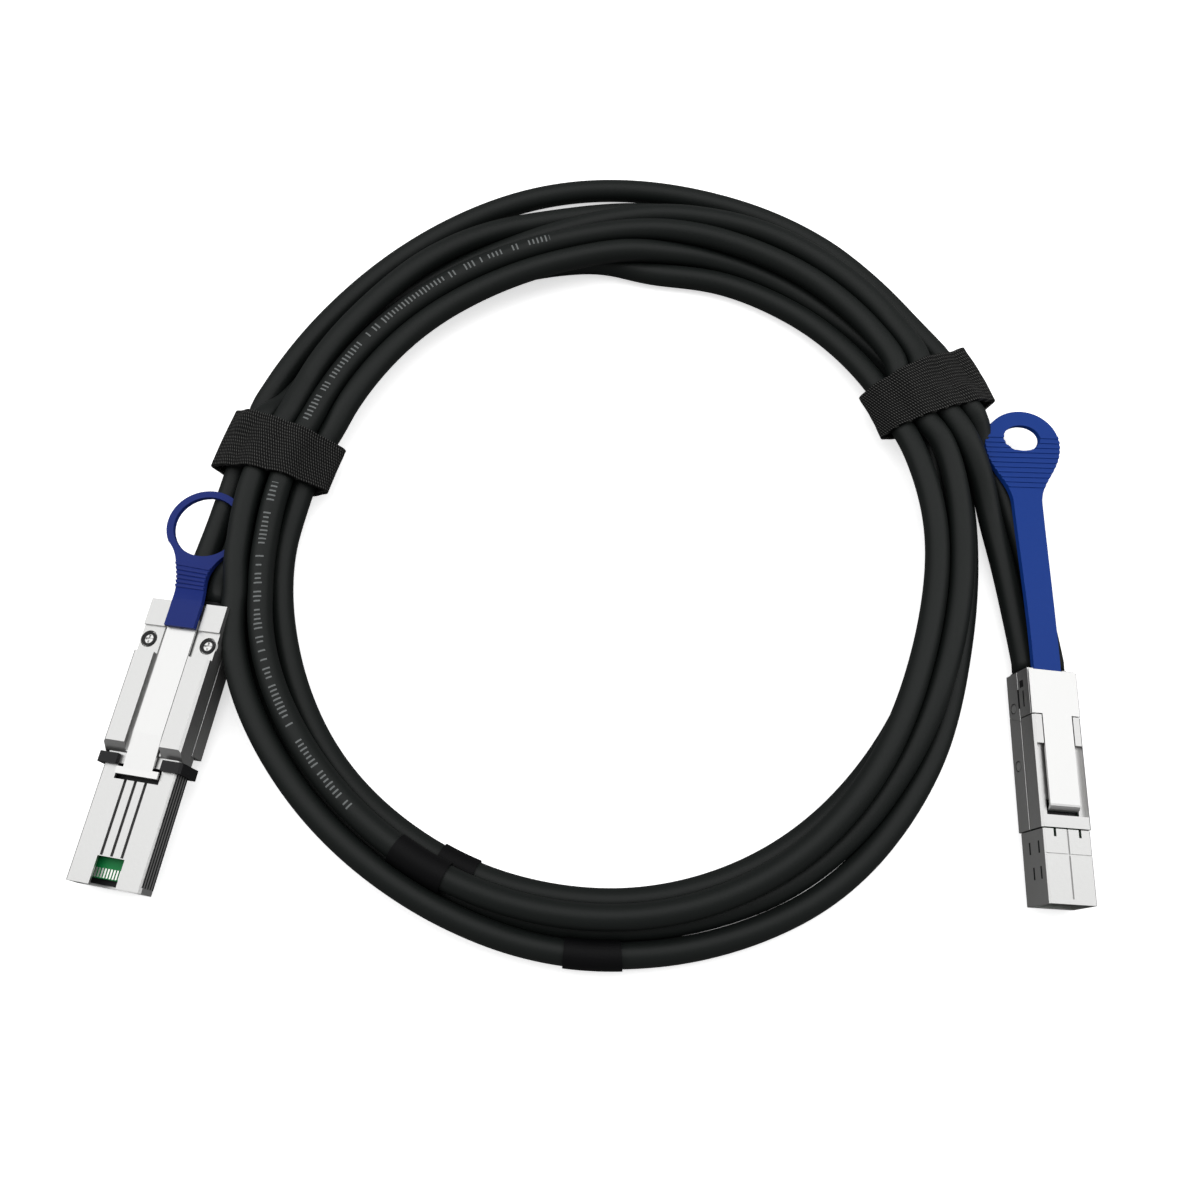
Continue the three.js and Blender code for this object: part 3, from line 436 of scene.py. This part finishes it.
def add_rings(name, frame_matrix, centres, inner, outer, top, thick, material):
    """Thin flat rings in a plug's own frame, as one piece."""
    spots, faces, n = [], [], RING_SIDES
    for x, y in centres:
        base = len(spots)
        for radius, z in ((inner, top), (outer, top), (outer, top - thick), (inner, top - thick)):
            for i in range(n):
                turn = 2 * math.pi * i / n
                spot = Vector((x + radius * math.cos(turn), y + radius * math.sin(turn), z))
                spots.append(tuple(frame_matrix @ spot))
        for i in range(n):
            k = (i + 1) % n
            for a, b in ((0, 1), (1, 2), (2, 3), (3, 0)):
                faces.append((base + a * n + i, base + b * n + i, base + b * n + k, base + a * n + k))
    build_mesh(name, spots, faces, material, smooth=False)


# Materials
def new_material(name):
    material = bpy.data.materials.new(name)
    material.use_nodes = True
    nodes = material.node_tree.nodes
    return material, nodes, material.node_tree.links, nodes["Principled BSDF"]


def set_values(node, values):
    """Sets a node's own sockets by their names."""
    for name, value in values.items():
        node.inputs[name].default_value = value


def add_bump(nodes, links, shader, height, strength):
    rise = nodes.new("ShaderNodeBump")
    set_values(rise, {"Strength": strength, "Distance": 0.2 * MM})
    links.new(height, rise.inputs["Height"])
    links.new(rise.outputs["Normal"], shader.inputs["Normal"])


def color_by(nodes, links, shader, factor, first, second):
    """The shader's colour, from first to second as factor goes from 0 to 1."""
    mix = nodes.new("ShaderNodeMix")
    mix.data_type = "RGBA"
    set_values(mix, {"A": first, "B": second})
    links.new(factor, mix.inputs["Factor"])
    links.new(mix.outputs["Result"], shader.inputs["Base Color"])


def number(nodes, links, kind, first, second=0.0, third=None):
    """One arithmetic step of a material; inputs are sockets or numbers."""
    node = nodes.new("ShaderNodeMath")
    node.operation = kind
    for slot, value in zip(node.inputs, (first, second, third)):
        if value is None:
            continue
        if isinstance(value, (int, float)):
            slot.default_value = value
        else:
            links.new(value, slot)
    return node.outputs[0]


def within(nodes, links, value, middle, half):
    """1 where value lies within half of middle."""
    away = number(nodes, links, "ABSOLUTE", number(nodes, links, "SUBTRACT", value, middle))
    return number(nodes, links, "LESS_THAN", away, half)


def wave(nodes, links, value, pitch):
    return number(nodes, links, "SINE", number(nodes, links, "MULTIPLY", value, 2 * math.pi / pitch))


def texture_run(nodes, links):
    """The two texture places of a mesh."""
    place = nodes.new("ShaderNodeUVMap")
    split = nodes.new("ShaderNodeSeparateXYZ")
    links.new(place.outputs["UV"], split.inputs["Vector"])
    return split.outputs["X"], split.outputs["Y"]


def plain(name, color, roughness, metallic=0.0, grain=None, bump=0.1, specular=0.5):
    """A material with one colour, and a fine bump where grain states its scale."""
    material, nodes, links, shader = new_material(name)
    set_values(shader, {"Base Color": (*color, 1), "Roughness": roughness, "Metallic": metallic,
                        "Specular IOR Level": specular})
    if grain:
        place = nodes.new("ShaderNodeTexCoord")
        noise = nodes.new("ShaderNodeTexNoise")
        set_values(noise, {"Scale": grain, "Detail": 4})
        links.new(place.outputs["Object"], noise.inputs["Vector"])
        add_bump(nodes, links, shader, noise.outputs["Fac"], bump)
    return material


def bar_mask(nodes, links, printed):
    """1 on the bars: a row of them along the cable's top, of uneven height and with some left out."""
    along, round_it = texture_run(nodes, links)
    cell = number(nodes, links, "DIVIDE", along, BAR_PITCH)
    chance = nodes.new("ShaderNodeTexWhiteNoise")
    chance.noise_dimensions = "1D"
    links.new(number(nodes, links, "FLOOR", cell), chance.inputs["W"])
    bar = number(nodes, links, "LESS_THAN", number(nodes, links, "FRACT", cell), BAR_FILL)
    half = number(nodes, links, "MULTIPLY_ADD", chance.outputs["Value"], BAR_SPREAD, BAR_HALF)
    kept = number(nodes, links, "GREATER_THAN", chance.outputs["Value"], BAR_SKIPPED)
    mask = number(nodes, links, "MULTIPLY", bar, within(nodes, links, round_it, CABLE_TOP, half))
    mask = number(nodes, links, "MULTIPLY", mask, kept)
    stretches = 0.0
    for low, high in printed:
        stretch = within(nodes, links, along, (low + high) / 2, (high - low) / 2)
        stretches = number(nodes, links, "ADD", stretch, stretches)
    return number(nodes, links, "MULTIPLY", mask, stretches)


def jacket_material(name, printed):
    """Satin black jacket, with plain pale bars over the printed lengths."""
    material, nodes, links, shader = new_material(name)
    set_values(shader, {"Roughness": 0.5, "Specular IOR Level": 0.22})
    color_by(nodes, links, shader, bar_mask(nodes, links, printed), JACKET_COLOR, BAR_COLOR)
    return material


def woven_material(name):
    """Black hook-and-loop webbing: slanting ribs with a fine cross weave, and a painted glint where the
    weave stands highest.
    """
    material, nodes, links, shader = new_material(name)
    set_values(shader, {"Roughness": 0.6, "Specular IOR Level": 0.15})
    round_it, across = texture_run(nodes, links)
    slant = number(nodes, links, "MULTIPLY_ADD", across, RIB_SLANT, round_it)
    rib = wave(nodes, links, slant, RIB_PITCH)
    thread = wave(nodes, links, across, THREAD_PITCH)
    height = number(nodes, links, "MULTIPLY_ADD", thread, THREAD_SHARE, rib)
    # painted glint: the colour runs from the strap's black to a pale grey towards the tops of the weave
    shade = nodes.new("ShaderNodeMapRange")
    set_values(shade, {"From Min": WEAVE_HEIGHTS[0], "From Max": WEAVE_HEIGHTS[1]})
    links.new(height, shade.inputs["Value"])
    color_by(nodes, links, shader, shade.outputs["Result"], WEAVE_DARK, WEAVE_PAINTED_GLINT)
    add_bump(nodes, links, shader, height, WEAVE_BUMP)
    return material


PLATING = plain("nickel_plating", (0.5, 0.5, 0.495), 0.34, 0.9, grain=1100, bump=0.14)
STEEL = plain("sheet_steel", (0.56, 0.56, 0.555), 0.3, 0.9, grain=500, bump=0.05)
NAVY = plain("navy_plastic", (0.011, 0.026, 0.18), 0.5, grain=700, bump=0.05, specular=0.15)
BLUE = plain("blue_plastic", (0.006, 0.042, 0.26), 0.5, grain=700, bump=0.05, specular=0.15)
BOARD = plain("board", (0.004, 0.2, 0.05), 0.5, specular=0.2)
# also the colour of the painted shade pieces: the screw rings, the well sheet, the nose sheets, the ridge
# strips and the right plug's slot boxes
BLACK = plain("insulator", (0.008, 0.008, 0.009), 0.55, specular=0.3)
STRAP = woven_material("woven_strap")
TAPE = plain("tape", (0.0025, 0.0025, 0.003), 0.6, specular=0.12)
SILVER = plain("contact_silver", (0.75, 0.75, 0.72), 0.3, 0.6)
# painted shade: the dark grey seen through the left nose's slots
SLOT_SHADE_GREY = plain("slot_painted_shade_grey", (0.1, 0.1, 0.1), 0.6)
BY_SLOT = {
    "plating": PLATING, "spring_steel": STEEL, "navy_plastic": NAVY, "blue_plastic": BLUE, "board": BOARD,
    "insulator": BLACK, "strap": STRAP, "tape": TAPE, "jacket": BLACK,
}


# Straps and bands, from the strands that they hold
def strands_at(turn, lines):
    """Inset and height of each strand where it crosses the bundle's section at that turn."""
    start, out, along = oval_frame(turn)
    found = []
    for line in lines:
        ahead = (line[:, :2] - start) @ along
        inset = -(line[:, :2] - start) @ out
        for i in np.nonzero(ahead[:-1] * ahead[1:] < 0)[0]:
            t = ahead[i] / (ahead[i] - ahead[i + 1])
            spot = (inset[i] + t * (inset[i + 1] - inset[i]), line[i, 2] + t * (line[i + 1, 2] - line[i, 2]))
            if BUNDLE[0] < spot[0] < BUNDLE[1]:
                found.append(spot)
    return sorted(found)


def turns_left(a, b, c):
    """Positive where the way from a over b to c turns left."""
    return (b[0] - a[0]) * (c[1] - a[1]) - (b[1] - a[1]) * (c[0] - a[0])


def hull(points):
    """The points on the convex outline, in order."""
    points = sorted(map(tuple, points))
    halves = []
    for run in (points, points[::-1]):
        edge = []
        for point in run:
            while len(edge) > 1 and turns_left(edge[-2], edge[-1], point) <= 0:
                edge.pop()
            edge.append(point)
        halves += edge[:-1]
    return np.array(halves)


def outline(circles, grow, tight):
    """Evenly spaced points round circles (inset, height, radius); tight draws it in between them."""
    turn = np.linspace(0, 2 * np.pi, CIRCLE_POINTS, endpoint=False)
    ring = np.stack([np.cos(turn), np.sin(turn)], axis=1)
    edge = hull(np.vstack([np.array(c[:2]) + (c[2] + grow) * ring for c in circles]))
    loop = evenly(np.vstack([edge, edge[:1]]), HULL_GAP)[:-1]
    middle = loop.mean(axis=0)
    pulled = []
    for spot in loop:
        gap = min(np.hypot(*(spot - c[:2])) - c[2] - grow for c in circles)
        steep = abs(middle[1] - spot[1]) / np.hypot(*(middle - spot))
        share = tight * min(2 * (steep + SIDE_PULL), 1)
        pulled.append(spot + np.array([0, np.sign(middle[1] - spot[1])]) * gap * share)
    pulled = np.array(pulled + [pulled[0]])
    loop = evenly(pulled, length_of(pulled) / LOOP_POINTS)[:LOOP_POINTS]
    return np.roll(loop, -np.argmin(loop[:, 0]), axis=0)


def wrap_sections(turn, width, held_at, thick, room, tight, ears):
    """Turn, outer outline and inner outline of a strap or band at each step across its width."""
    held = held_at(turn)
    centre = sum(inset for inset, height in held) / len(held)
    sections = []
    for step in np.linspace(-width / 2, width / 2, WRAP_STEPS):
        here_turn = turn + math.degrees(step / WRAP_RADIUS)
        here = held_at(here_turn)
        shift = sum(inset for inset, height in here) / len(here) - centre if len(here) == len(held) else 0
        insets = [inset + shift for inset, height in held]
        circles = [(inset, height, CABLE_R) for inset, (_, height) in zip(insets, held)]
        circles += [(inset, height, CABLE_R) for inset, height in here]
        middle = sum(circle[1] for circle in circles) / len(circles)
        if ears:
            circles.append((min(insets) - CABLE_R - ears[0], middle, EAR_R))
            circles.append((max(insets) + CABLE_R + ears[1], middle, EAR_R))
        sections.append((here_turn, outline(circles, room + thick, tight), outline(circles, room, tight)))
    return sections


def sleeve_spots(sections, thick, lean):
    """All points of the outer outlines, then of the inner ones, kept above the table."""
    spots = []
    for side, low in ((1, TABLE_GAP), (2, TABLE_GAP + thick * INNER_LIFT)):
        for section in sections:
            for inset, height in section[side]:
                spots.append(coil_spot(section[0] + lean * (inset - LEAN_MIDDLE), inset, max(height, low)))
    return spots


def sleeve_faces(rows, lap, step):
    """Faces of a hollow sleeve, and texture places: round it by laps and across it by steps."""
    n = LOOP_POINTS
    inner = rows * n
    faces, uvs = [], []
    for i in range(rows - 1):
        for j in range(n):
            k = (j + 1) % n
            faces.append((i * n + j, i * n + k, (i + 1) * n + k, (i + 1) * n + j))
            corners = [(j * lap, i * step), ((j + 1) * lap, i * step),
                       ((j + 1) * lap, (i + 1) * step), (j * lap, (i + 1) * step)]
            uvs += corners
            faces.append(tuple(inner + q for q in faces[-1][::-1]))
            uvs += corners[::-1]
    for i, flip in ((0, True), (rows - 1, False)):
        for j in range(n):
            k = (j + 1) % n
            face = (i * n + j, i * n + k, inner + i * n + k, inner + i * n + j)
            faces.append(face[::-1] if flip else face)
            uvs += [(j * lap, i * step)] * 4
    return faces, uvs


def wrap(name, turn, width, held_at, thick, room, tight, material, ears=None, lean=0.0):
    """A strap or band round the strands that held_at finds, as a hollow sleeve."""
    sections = wrap_sections(turn, width, held_at, thick, room, tight, ears)
    lap = length_of(sections[0][1]) / (LOOP_POINTS - 1)
    faces, uvs = sleeve_faces(WRAP_STEPS, lap, width / (WRAP_STEPS - 1))
    sleeve = build_mesh(name, sleeve_spots(sections, thick, lean), faces, material, uvs)
    sharp = sleeve.modifiers.new("split", "EDGE_SPLIT")
    sharp.split_angle = math.radians(SHARP_EDGE)
    return sleeve


def add_strap(name, index, lines):
    """A woven strap round the whole bundle."""
    return wrap(name, STRAP_ANGLES[index], STRAP_WIDTH, lambda turn: strands_at(turn, lines), STRAP_THICK,
                STRAP_ROOM, STRAP_TIGHT, STRAP, STRAP_EARS[index], STRAP_LEANS[index])


def add_band(name, spot, lines, pick, tight=0):
    """A short band round the picked strands."""
    return wrap(name, *spot, lambda turn: pick(strands_at(turn, lines)), BAND_THICK, BAND_ROOM, tight, TAPE)


def add_wraps(lines):
    """The two straps round the whole bundle and the three bands; given back by the cable that holds them."""
    left = add_strap("left_strap_woven", 0, lines)
    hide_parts("left_tie_strap")
    right = add_strap("right_strap_woven", 1, lines)
    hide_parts("right_tie_strap")
    low, high = PAIR_INSETS
    pair = add_band("band_round_two", PAIR_BAND, lines,
                    lambda strands: [spot for spot in strands if low < spot[0] < high], PAIR_TIGHT)
    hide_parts("tape_band_1")
    inner = add_band("band_inner", INNER_BAND, lines, lambda strands: strands[-1:])
    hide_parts("tape_band_2")
    outer = add_band("band_outer", OUTER_BAND, lines, lambda strands: strands[:1])
    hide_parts("tape_band_3")
    return (left, right, pair), (inner, outer)


def add_cables(lines):
    """Both cables; the bars that stand for the printing are on the first."""
    printed = [[(run_at(lines[0], low), run_at(lines[0], high)) for low, high in PRINTED_TURNS], []]
    cables = []
    for i, line in enumerate(lines):
        jacket = jacket_material(f"black_jacket_{i + 1}", printed[i])
        cable = add_tube(f"cable_{i + 1}", line, CABLE_R, jacket)
        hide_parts(*(("cable_coil",) if i == 0 else ()), f"right_cable_end_{i + 1}",
                    f"left_cable_end_{i + 1}")
        cables.append(cable)
    return cables


def dress_nodes():
    """Every CAD node gets its slot's material, and the metal ones slightly broken edges."""
    for part in frame["record"]["subparts"]:
        node = frame["nodes"][part["node"]]
        node.data.materials.clear()
        node.data.materials.append(BY_SLOT[part["material_slot"]])
        if part["material_slot"] in ("plating", "spring_steel"):
            bevel = node.modifiers.new("edge", "BEVEL")
            bevel.width = EDGE * MM
            bevel.segments = EDGE_STEPS
            bevel.limit_method = "ANGLE"
            bevel.angle_limit = math.radians(EDGE_ANGLE)
            bevel.harden_normals = True


def add_screw_rings():
    # painted shadow round each screw
    add_rings("left_screw_shadows", LEFT_FRAME, SCREW_SPOTS, **SCREW_RING, material=BLACK)


def add_well_painted_shade():
    """A black sheet at the bottom of the opening that the right latch's folded end stands in: painted shade.
    """
    add_boxes("right_well_painted_shade", RIGHT_FRAME, [WELL_SHADE_SHEET], BLACK)


def add_left_nose_details():
    """Board contacts; black and grey sheets behind the nose's openings, which are painted shade; and thin
    black strips along its side, painted shade of its ridges.
    """
    starts = [CONTACT["first"] + i * CONTACT["pitch"] for i in range(CONTACT["count"])]
    contacts = [((x, x + CONTACT["width"]), CONTACT["y"], CONTACT["z"]) for x in starts]
    add_boxes("left_card_contacts", LEFT_FRAME, contacts, SILVER)
    add_boxes("left_nose_painted_shade", LEFT_FRAME, NOSE_SHADE_SHEETS, BLACK)
    add_boxes("left_slot_painted_shade", LEFT_FRAME, [SLOT_SHADE_SHEET], SLOT_SHADE_GREY)
    starts = [RIDGE_SHADE_STRIPS["first"] + i * RIDGE_SHADE_STRIPS["pitch"] for i in range(RIDGE_SHADE_STRIPS["count"])]
    ridges = [(RIDGE_SHADE_STRIPS["x"], RIDGE_SHADE_STRIPS["y"], (z, z + RIDGE_SHADE_STRIPS["height"])) for z in starts]
    add_boxes("left_nose_ridge_shade", LEFT_FRAME, ridges, BLACK)


def add_right_slots():
    """The slots in the right plug's side, as thin black boxes: painted shade where the slots are recessed.
    """
    add_boxes("right_cover_slot_shade", RIGHT_FRAME, [(COVER_SIDE, y, z) for y, z in COVER_SLOTS], BLACK)
    length, height = NOSE_SLOT["length"], NOSE_SLOT["height"]
    slots = [(NOSE_SIDE, (y, y + length), (z, z + height)) for y, z in NOSE_SLOTS]
    add_boxes("right_nose_slot_shade", RIGHT_FRAME, slots, BLACK)


# Floor and light
def add_stage():
    bpy.ops.mesh.primitive_plane_add(size=FLOOR_SIZE, location=(0, 0, 0))
    floor = bpy.context.object
    floor.name = "floor"
    material, nodes, links, shader = new_material("floor_white")
    set_values(shader, {"Roughness": 1, "Specular IOR Level": 0, "Emission Color": WHITE})
    seen = nodes.new("ShaderNodeLightPath").outputs["Is Camera Ray"]
    color_by(nodes, links, shader, seen, FLOOR_ELSE, FLOOR_SEEN)
    links.new(number(nodes, links, "MULTIPLY", seen, FLOOR_GLOW), shader.inputs["Emission Strength"])
    floor.data.materials.append(material)


def area_light(name, spot, aim, size, power):
    data = bpy.data.lights.new(name, "AREA")
    data.energy = power
    data.size = size
    light = bpy.data.objects.new(name, data)
    light.location = spot
    light.rotation_euler = (Vector(aim) - Vector(spot)).to_track_quat("-Z", "Y").to_euler()
    bpy.context.scene.collection.objects.link(light)


def add_light():
    world = bpy.data.worlds.new("world")
    bpy.context.scene.world = world
    world.use_nodes = True
    set_values(world.node_tree.nodes["Background"], {"Color": WHITE, "Strength": WORLD_LIGHT})
    for softbox in SOFTBOXES:
        area_light(*softbox)
    bpy.context.scene.view_settings.view_transform = "Standard"


add_camera()
LINES = settle([cable_line(0), cable_line(1)])
CABLES = add_cables(LINES)
dress_nodes()
for cable, line, held in zip(CABLES, LINES, add_wraps(LINES)):
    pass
add_screw_rings()
add_well_painted_shade()
add_left_nose_details()
add_right_slots()
add_stage()
add_light()
